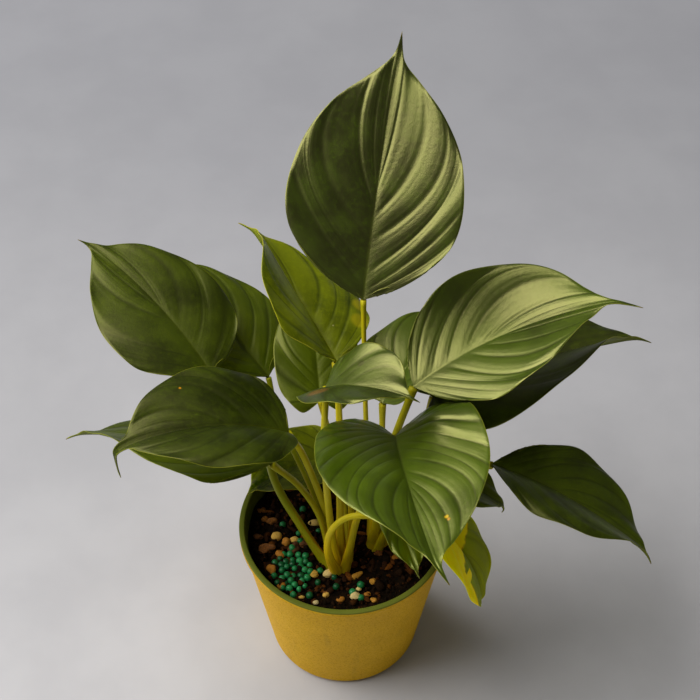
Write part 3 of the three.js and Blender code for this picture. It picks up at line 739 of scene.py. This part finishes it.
def bark_lumps(count, seed):
    random = np.random.default_rng(seed)
    edge = pot_inner(SOIL_LEVEL) - 5
    lumps = []
    for _ in range(count):
        angle = random.uniform(0, 2 * np.pi)
        reach = edge * math.sqrt(random.uniform())
        x, y = polar(reach, angle)
        sizes = (random.uniform(1.8, 3.6), random.uniform(0.8, 1.6), random.uniform(0.4, 0.8))
        height = above_soil(x, y, random.uniform(0.2, 1.1))
        lumps.append((x, y, height, sizes, random.uniform(0, np.pi)))
    return lumps


# Pot


def arc(x, z, radius, degrees):
    steps = [polar(radius, math.radians(angle)) for angle in degrees]
    return [(x + out, z + up) for out, up in steps]


def pot_profile():
    """From the middle of the underside, out and up over the lip, and down inside to the middle."""
    lip_low = POT_HEIGHT - POT_LIP_HEIGHT
    rim = POT_RIM_RADIUS
    corner_x = pot_outer(POT_CORNER) - POT_CORNER
    # the underside, the corner and the wall
    points = [(r, 0) for r in np.linspace(0, 34, 12)]
    points += arc(corner_x, POT_CORNER, POT_CORNER, np.linspace(-90, 0, 12))
    points += [(pot_outer(z), z) for z in np.linspace(POT_CORNER, lip_low, 34)[1:]]
    # the lip's step, its side, its round top and its inner edge
    points += [(rim - 0.15, lip_low + 0.55), (rim, lip_low + 0.8), (rim, lip_low + 1.6)]
    points += [(rim, lip_low + 2.5), (rim, POT_HEIGHT - POT_LIP_ROUND)]
    points += arc(rim - POT_LIP_ROUND, POT_HEIGHT - POT_LIP_ROUND, POT_LIP_ROUND, (25, 50, 70, 90))
    inner_x = pot_inner(lip_low) + 0.25
    points += [(inner_x + 0.55, POT_HEIGHT), (inner_x + 0.2, POT_HEIGHT - 0.15)]
    points += [(inner_x, POT_HEIGHT - 0.5), (pot_inner(lip_low), lip_low)]
    # the inside of the wall, and the floor
    floor_top = POT_FLOOR + POT_FLOOR_ROUND
    points += [(pot_inner(z), z) for z in np.linspace(lip_low, floor_top, 30)[1:]]
    points += [(pot_inner(POT_FLOOR) - 0.9, POT_FLOOR + 0.9)]
    inner_edge = pot_inner(POT_FLOOR) - POT_FLOOR_ROUND
    points += [(r, POT_FLOOR) for r in np.linspace(inner_edge, 0, 12)]
    return points


def build_pot(material):
    profile = pot_profile()
    rings = [ring(r, z, POT_SEGMENTS) for r, z in profile[1:-1]]
    points, faces = closed_form(rings, profile[0][1], profile[-1][1])
    pot = make_object("pot_shell", points, faces, {}, material)
    for i in range(DRAIN_HOLES):
        place = (*polar(DRAIN_RING * MM, 2 * math.pi * i / DRAIN_HOLES), 0)
        cut_hole(pot, DRAIN_RADIUS * MM, place, 4 * POT_FLOOR * MM)
    pot.data.polygons.foreach_set("use_smooth", [True] * len(pot.data.polygons))
    pot.data.set_sharp_from_angle(angle=math.radians(40))
    return pot


def cut_hole(obj, radius, place, depth):
    bpy.ops.mesh.primitive_cylinder_add(vertices=36, radius=radius, depth=depth, location=place)
    tool = bpy.context.object
    cut = obj.modifiers.new("hole", "BOOLEAN")
    cut.operation = "DIFFERENCE"
    cut.solver = "EXACT"
    cut.object = tool
    bpy.context.view_layer.update()
    solid = bpy.data.meshes.new_from_object(obj.evaluated_get(bpy.context.evaluated_depsgraph_get()))
    obj.modifiers.clear()
    obj.data = solid
    bpy.data.objects.remove(tool)


# Materials


def linear(value):
    """A part of a colour from 0 to 255, as the shader wants it."""
    value /= 255
    return value / 12.92 if value <= 0.04045 else ((value + 0.055) / 1.055) ** 2.4


class Paint:
    """Short calls that build one material's nodes. Colours are three parts from 0 to 255."""

    def __init__(self, name):
        self.material = bpy.data.materials.new(name)
        self.material.use_nodes = True
        self.nodes = self.material.node_tree.nodes
        self.shader = self.nodes["Principled BSDF"]

    def fill(self, node, values):
        """Links or sets a node's sockets, by their names or numbers."""
        for key, value in values.items():
            socket = node.inputs[key]
            if hasattr(value, "links"):
                self.material.node_tree.links.new(value, socket)
            elif socket.type == "RGBA":
                socket.default_value = (*map(linear, value), 1)
            else:
                socket.default_value = value

    def node(self, kind, values, **settings):
        """The outputs of a new node of one kind."""
        node = self.nodes.new("ShaderNode" + kind)
        for key, value in settings.items():
            setattr(node, key, value)
        self.fill(node, values)
        return node.outputs

    def attribute(self, name):
        return self.parts(self.node("Attribute", {}, attribute_name=name)["Vector"])

    def place(self):
        return self.node("TexCoord", {})["Object"]

    def parts(self, vector):
        outputs = self.node("SeparateXYZ", {0: vector})
        return [outputs[k] for k in "XYZ"]

    def join(self, x, y, z):
        return self.node("CombineXYZ", {0: x, 1: y, 2: z})[0]

    def math(self, operation, a, b=0.0, clamp=False):
        return self.node("Math", {0: a, 1: b}, operation=operation, use_clamp=clamp)[0]

    def plus(self, a, b, clamp=False):
        return self.math("ADD", a, b, clamp)

    def minus(self, a, b):
        return self.math("SUBTRACT", a, b)

    def times(self, a, b):
        return self.math("MULTIPLY", a, b)

    def absolute(self, value):
        return self.math("ABSOLUTE", value)

    def ramp(self, value, low, high, start=0.0, end=1.0):
        """start below low, end above high, and a soft change between them."""
        values = dict(enumerate((value, low, high, start, end)))
        return self.node("MapRange", values, interpolation_type="SMOOTHSTEP")[0]

    def mix(self, share, a, b):
        return self.node("Mix", {0: share, 6: a, 7: b}, data_type="RGBA")[2]

    def over(self, below, tint, value, low, high, start=0.0, end=1.0):
        """A tint laid over what is below, by a ramp of value."""
        return self.mix(self.ramp(value, low, high, start, end), below, tint)

    def noise(self, vector, scale, detail=3.0, rough=0.5, stretch=None):
        if stretch:
            vector = self.node("Mapping", {0: vector, "Scale": stretch})[0]
        values = {"Vector": vector, "Scale": scale, "Detail": detail, "Roughness": rough}
        return self.node("TexNoise", values)[0]

    def near_whole(self, value, width):
        """1 where value is a whole number, down to 0 at width from it."""
        shifted = self.math("FRACT", self.plus(value, 0.5))
        away = self.absolute(self.minus(shifted, 0.5))
        return self.ramp(away, 0, width, 1.0, 0.0)

    def near(self, vector, centre, radius):
        """1 at centre, down to 0 at radius."""
        away = self.node("VectorMath", {0: vector, 1: centre}, operation="DISTANCE")["Value"]
        return self.ramp(away, radius * 0.5, radius, 1.0, 0.0)

    def bump(self, height, distance, strength, below=None):
        values = {"Height": height, "Distance": distance, "Strength": strength}
        if below:
            values["Normal"] = below
        return self.node("Bump", values)[0]

    def finish(self, colour, roughness, normal, **plain):
        self.fill(self.shader, {"Base Color": colour, "Roughness": roughness, "Normal": normal})
        for key, value in plain.items():
            self.shader.inputs[key.replace("_", " ")].default_value = value
        return self.material


UNDERSIDE = (112, 122, 34)
TIP_BROWN = (112, 84, 30)
LEAF_SHEEN = (1, 0.99, 0.36, 1)
LEAF_IOR = 1.6


def leaf_material(name, dark, light, vein, edge, gloss, rough, glow, split=None):
    """The blades: tone from the leaf, painted shade in the creases at the side veins and a thin paler
    margin.
    """
    paint = Paint(name)
    along, out, to_edge = paint.attribute("place")
    phase, ray, top = paint.attribute("veins")
    tone, seed, _ = paint.attribute("look")
    where = paint.place()
    broad = paint.noise(where, 42, 3, 0.55)
    fine = paint.noise(where, 420, 3, 0.6)
    mottle = paint.plus(tone, paint.ramp(broad, 0.3, 0.7, -0.22, 0.22), clamp=True)
    colour = paint.mix(mottle, dark, light)
    colour = paint.over(colour, light, fine, 0.45, 0.75, 0, 0.2)
    # Painted shade: the blade darkens towards its dark green along the sunken side veins.
    crease = paint.times(paint.near_whole(phase, 0.13), paint.ramp(ray, 0.02, 0.25))
    colour = paint.mix(paint.times(crease, 0.6), colour, dark)
    taper = paint.ramp(along, 0, 1, 0.028, 0.006)
    from_midrib = paint.math("DIVIDE", paint.absolute(out), taper)
    midrib = paint.ramp(from_midrib, 0.5, 1, 1, 0)
    midrib = paint.times(midrib, paint.ramp(along, 0.02, 0.5, 0.1, 0.02))
    colour = paint.mix(midrib, colour, vein)
    if split:
        colour = split(paint, colour, where, along, out)
    for centre, radius, spot in SPOTS:
        colour = paint.mix(paint.times(paint.near(where, centre, radius), 0.8), colour, spot)
    under = paint.mix(0.45, colour, UNDERSIDE)
    colour = paint.mix(top, under, colour)
    colour = paint.over(colour, edge, to_edge, 0.1, 0.4, 0.5, 0)
    tip = paint.times(paint.ramp(along, 0.975, 0.995), 0.8)
    colour = paint.mix(tip, colour, TIP_BROWN)
    fibres = paint.noise(paint.join(paint.times(phase, 6), paint.times(ray, 3), seed), 1.4, 2)
    small_veins = paint.near_whole(paint.times(phase, 5), 0.5)
    normal = paint.bump(paint.plus(fibres, paint.times(small_veins, 0.3)), 0.00006, 0.5)
    normal = paint.bump(fine, 0.00012, 0.7, normal)
    normal = paint.bump(paint.noise(where, 1700, 2, 0.6), 0.00006, 0.6, normal)
    roughness = paint.ramp(broad, 0.25, 0.75, rough, rough + 0.09)
    roughness = paint.plus(roughness, paint.ramp(top, 0, 1, 0.2, 0))
    return paint.finish(
        colour, roughness, normal, IOR=LEAF_IOR, Specular_IOR_Level=gloss, Specular_Tint=LEAF_SHEEN,
        Subsurface_Weight=glow, Subsurface_Scale=0.004, Subsurface_Radius=(0.9, 1, 0.15),
    )


def yellow_part(paint, green, where, along, out):
    """The dying part of the blade outside the rim, with an uneven, browned border."""
    wobble = paint.ramp(paint.noise(where, 260, 3), 0.2, 0.8, -0.009, 0.009)
    leaning = paint.plus(along, paint.times(out, YELLOW_LEAN))
    low, high = YELLOW_UNTIL - 0.012, YELLOW_UNTIL + 0.012
    base = paint.ramp(paint.plus(leaning, wobble), low, high, 1, 0)
    place, width, depth = YELLOW_NOTCH
    from_notch = paint.absolute(paint.minus(along, place))
    notch = paint.ramp(from_notch, width * 0.6, width, depth, 0)
    outwards = paint.plus(paint.minus(out, notch), wobble)
    strip = paint.ramp(outwards, YELLOW_STRIP - 0.03, YELLOW_STRIP + 0.03, 1, 0)
    share = paint.math("MAXIMUM", base, strip)
    blotch = paint.ramp(paint.noise(where, 220, 3), 0.35, 0.7)
    mottled = paint.mix(blotch, (255, 206, 8), (255, 196, 8))
    border = paint.times(share, paint.minus(1, share))
    colour = paint.mix(share, green, mottled)
    return paint.mix(paint.times(border, 1.6), colour, (150, 92, 26))


def stalk_material():
    """Yellow to green along the stalk, with orange edges beside the channel that fade upwards."""
    paint = Paint("stalk_skin")
    share, travelled, angle = paint.attribute("place")
    fresh = paint.attribute("look")[0]
    where = paint.place()
    blotch = paint.noise(where, 90, 3)
    streak = paint.noise(paint.join(paint.times(angle, 1.6), paint.times(travelled, 0.03), 0), 2.2, 3)
    colour = paint.over((248, 208, 18), (206, 190, 20), share, 0.12, 0.62)
    colour = paint.over(colour, (130, 144, 20), blotch, 0.35, 0.7, 0, 0.3)
    colour = paint.mix(paint.times(fresh, 0.75), colour, (104, 124, 10))
    from_edge = paint.absolute(paint.minus(paint.absolute(angle), CHANNEL_EDGE))
    edge = paint.ramp(from_edge, 0.05, 0.34, 1, 0)
    fading = paint.ramp(share, 0.25, 0.6, 1, 0.15)
    colour = paint.mix(paint.times(paint.times(edge, fading), 0.75), colour, (164, 74, 18))
    red_streak = paint.times(paint.ramp(streak, 0.5, 0.72), paint.times(fading, 0.4))
    colour = paint.mix(red_streak, colour, (146, 92, 34))
    foot = paint.ramp(share, 0.04, 0.14, 0.6, 0)
    colour = paint.mix(foot, colour, (120, 124, 24))
    normal = paint.bump(streak, 0.0002, 0.5)
    roughness = paint.ramp(blotch, 0.3, 0.7, 0.36, 0.5)
    return paint.finish(
        colour, roughness, normal, Specular_IOR_Level=0.4, Specular_Tint=LEAF_SHEEN,
        Subsurface_Weight=0.2, Subsurface_Scale=0.002, Subsurface_Radius=(1, 0.8, 0.2),
    )


def soil_material():
    paint = Paint("potting_mix")
    where = paint.place()
    patch = paint.noise(where, 260, 4, 0.6)
    grain = paint.noise(where, 1400, 4, 0.7)
    colour = paint.over((12, 7, 2), (28, 16, 5), patch, 0.42, 0.62)
    colour = paint.over(colour, (72, 42, 16), grain, 0.6, 0.8, 0, 0.5)
    normal = paint.bump(grain, 0.0005, 0.9)
    return paint.finish(colour, paint.ramp(grain, 0.3, 0.7, 0.78, 0.96), normal, Specular_IOR_Level=0.08)


def lump_material(name, tints, dark_share, roughness, bump_size, gloss=0.5):
    """Crumbs and stones: each lump has its own tint of three, with grain over it."""
    paint = Paint(name)
    first, second, third = paint.attribute("shade")
    grain = paint.noise(paint.place(), 1500, 4, 0.65)
    colour = paint.over(tints[0], tints[1], first, 0.2, 0.8)
    colour = paint.over(colour, tints[2], second, 0.65, 0.9)
    colour = paint.over(colour, (30, 20, 12), grain, 0.4, 0.7, dark_share, 0)
    normal = paint.bump(grain, bump_size, 0.8)
    roughness = paint.ramp(third, 0, 1, roughness - 0.08, roughness + 0.08)
    return paint.finish(colour, roughness, normal, Specular_IOR_Level=gloss)


def bead_material():
    paint = Paint("fertiliser_bead")
    first, second, third = paint.attribute("shade")
    where = paint.place()
    cloud = paint.noise(where, 700, 3, 0.5)
    colour = paint.over((6, 88, 46), (46, 158, 90), first, 0.1, 0.9)
    colour = paint.over(colour, (26, 126, 68), second, 0.6, 0.95)
    colour = paint.over(colour, (4, 52, 28), cloud, 0.35, 0.7, 0.3, 0)
    normal = paint.bump(cloud, 0.0002, 0.4)
    roughness = paint.ramp(third, 0, 1, 0.3, 0.45)
    return paint.finish(colour, roughness, normal, Specular_IOR_Level=0.4)


def pot_material():
    """Ochre outside and underneath, olive inside and on the lip, which the middle of the wall parts, with a
    painted highlight on the lip's round top.
    """
    paint = Paint("pot_plastic")
    where = paint.place()
    x, y, z = paint.parts(where)
    radius = paint.math("SQRT", paint.plus(paint.times(x, x), paint.times(y, y)))
    middle = paint.plus(paint.times(z, POT_WALL_SLOPE), (POT_BASE_RADIUS - POT_WALL / 2) * MM)
    outside = paint.ramp(paint.minus(radius, middle), -0.0002, 0.0002)
    floor_middle = POT_FLOOR / 2
    below = paint.ramp(z, (floor_middle - 0.1) * MM, (floor_middle + 0.1) * MM, 1, 0)
    outside = paint.math("MAXIMUM", outside, below)
    wear = paint.noise(where, 60, 4, 0.6)
    grain = paint.noise(where, 1100, 2, 0.5)
    ochre = paint.over((220, 172, 6), (228, 180, 12), wear, 0.3, 0.7)
    ochre = paint.over(ochre, (184, 130, 4), grain, 0.45, 0.7, 0, 0.5)
    olive = paint.over((104, 112, 30), (92, 102, 26), wear, 0.3, 0.7)
    colour = paint.mix(outside, olive, ochre)
    rim_low, rim_high = (POT_HEIGHT - POT_LIP_ROUND) * MM, (POT_HEIGHT - 0.1) * MM
    colour = paint.over(colour, olive, z, rim_low - 0.0004, rim_low)
    # A paler olive over the lip's round top is a painted highlight.
    colour = paint.over(colour, (128, 138, 60), z, rim_low, rim_high, 0, 0.25)
    streaks = paint.noise(where, 90, 3, 0.6, stretch=(1, 1, 0.15))
    colour = paint.over(colour, (120, 96, 40), streaks, 0.55, 0.8, 0, 0.2)
    normal = paint.bump(grain, 0.00022, 0.8)
    roughness = paint.ramp(grain, 0.3, 0.7, 0.46, 0.6)
    return paint.finish(colour, roughness, normal, Specular_IOR_Level=0.12)


def floor_material():
    """Pale paper with painted shade that darkens it towards the back, and faint clouds."""
    paint = Paint("floor_paper")
    where = paint.place()
    broad = paint.noise(where, 3, 2, 0.4)
    grain = paint.noise(where, 900, 2, 0.5)
    y = paint.parts(where)[1]
    # Painted shade: the paper's colour darkens from the front towards the back.
    colour = paint.over((210, 211, 217), (152, 154, 162), y, -0.25, 0.5)
    colour = paint.over(colour, (160, 162, 168), broad, 0.3, 0.7, 0, 0.3)
    cloud = paint.noise(where, 15, 4, 0.55)
    colour = paint.over(colour, (120, 121, 130), cloud, 0.3, 0.7, 0, 0.14)
    return paint.finish(colour, 0.9, paint.bump(grain, 0.00005, 0.2), Specular_IOR_Level=0)


# The scene

# The blades' materials: dark and light green, midrib, margin, gloss, roughness and glow from inside
LEAF_PAINTS = {
    "leaf_green": ((11, 22, 0), (68, 92, 2), (108, 114, 24), (150, 150, 40), 1, 0.3, 0.12),
    "leaf_light": ((24, 40, 0), (150, 162, 6), (170, 170, 36), (200, 188, 50), 0.35, 0.42, 0.5),
    # a duller copy of leaf_green with paler darks for the blades in shade: the paler darks are painted
    # light
    "leaf_in_shade": ((22, 31, 0), (74, 90, 0), (92, 98, 14), (150, 150, 40), 0.42, 0.4, 0.12),
    "leaf_half_yellow": (
        (84, 92, 6), (120, 128, 12), (150, 150, 34), (170, 164, 44), 0.12, 0.6, 1, yellow_part,
    ),
}

# Blades that aren't plain leaf_green, with a slot for each
SHADED_LEAVES = (
    "right_lower", "right_front", "left_front", "left_back", "low_left", "front_left", "back_centre",
    "under_heart",
)
FINISHES = {
    "young": ("leaf_light", "leaf_young"),
    # The rim blade wears the young leaves' paler paint: painted light on a blade in the front leaves'
    # shade.
    "rim": ("leaf_light", "leaf_young"),
    "yellowing": ("leaf_half_yellow", "leaf_yellow"),
    # Blades in shade wear the duller copy with paler darks, which is painted light.
    **dict.fromkeys(SHADED_LEAVES, ("leaf_in_shade", "leaf")),
}


def build_plant():
    paints = {name: leaf_material(name, *values) for name, values in LEAF_PAINTS.items()}
    stalk = stalk_material()
    for leaf in LEAVES:
        name = leaf["name"]
        paint, slot = FINISHES.get(name, ("leaf_green", "leaf"))
        place_piece(build_blade(leaf, paints[paint]), "leaf_" + name)
        place_piece(build_stalk(leaf, stalk), "stalk_" + name)


def build_planting():
    """The soil bed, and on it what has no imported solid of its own."""
    place_piece(build_soil(soil_material()), "soil")
    # the tints, how much the grain darkens them, roughness, size of the bumps and gloss
    humus = lump_material("humus", [(18, 11, 3), (42, 23, 7), (98, 54, 13)], 0.6, 0.9, 0.0006, 0.08)
    bark = lump_material("bark", [(58, 30, 8), (96, 52, 12), (136, 78, 18)], 0.6, 0.85, 0.0006, 0.1)
    pale = lump_material("perlite", [(250, 220, 134), (238, 190, 84), (248, 226, 160)], 0.2, 0.8, 0.0004)
    tan = lump_material("pumice", [(226, 162, 48), (204, 132, 26), (222, 174, 64)], 0.35, 0.8, 0.0005)
    brown = lump_material("bark_bead", [(150, 88, 16), (112, 62, 12), (172, 106, 22)], 0.6, 0.85, 0.0006)
    # the lumps (count, smallest, largest, seed), steps of each sphere, unevenness and seed
    pieces = [
        build_lumps("crumbs_fine", crumb_lumps(1700, 0.4, 1.4, 21), 1, 0.35, 22, humus, smooth=False),
        build_lumps("crumbs_large", crumb_lumps(130, 1.1, 2.4, 31), 2, 0.45, 32, humus),
        build_lumps("bark_bits", bark_lumps(110, 51), 2, 0.3, 52, bark),
        build_lumps("stones_pale", stone_lumps(PALE_STONES), 4, 0.14, 42, pale),
        build_lumps("stones_tan", stone_lumps(TAN_STONES), 4, 0.2, 43, tan),
        build_lumps("stones_brown", stone_lumps(BROWN_STONES), 4, 0.35, 44, brown),
        build_lumps("beads", bead_lumps(), 3, 0.05, 61, bead_material()),
    ]
    for piece in pieces:
        place_piece(piece, None)


def build_stage():
    bpy.ops.mesh.primitive_plane_add(size=FLOOR_SIZE, location=(0, 0, 0))
    floor = bpy.context.object
    floor.name = "floor"
    floor.data.materials.append(floor_material())


def add_lights():
    """One large softbox high on the left, and a dim, even surround."""
    light = bpy.data.lights.new("softbox", "AREA")
    light.shape = "RECTANGLE"
    light.size, light.size_y = SOFTBOX_SIZE
    light.energy = SOFTBOX_POWER
    light.color = (1, 0.965, 0.92)
    softbox = add_object("softbox", light)
    softbox.location = SOFTBOX_PLACE
    aim = Vector(SOFTBOX_AIM) - Vector(SOFTBOX_PLACE)
    softbox.rotation_euler = aim.to_track_quat("-Z", "Y").to_euler()
    world = bpy.data.worlds.new("studio")
    world.use_nodes = True
    background = world.node_tree.nodes["Background"]
    background.inputs["Color"].default_value = (1, 0.97, 0.82, 1)
    background.inputs["Strength"].default_value = SURROUND_STRENGTH
    bpy.context.scene.world = world


def add_camera():
    """The photo's view, fitted to the pot's rim and base."""
    data = bpy.data.cameras.new("camera")
    data.sensor_width = 36
    data.lens = CAMERA_LENS
    data.clip_start = 0.01
    camera = add_object("camera", data)
    camera.location = CAMERA_PLACE
    camera.rotation_euler = (math.radians(CAMERA_TILT), 0, math.radians(CAMERA_TURN))
    bpy.context.scene.camera = camera


add_camera()
add_lights()
build_stage()
place_piece(build_pot(pot_material()), "pot")
build_planting()
build_plant()
bpy.context.scene.view_settings.view_transform = "Standard"
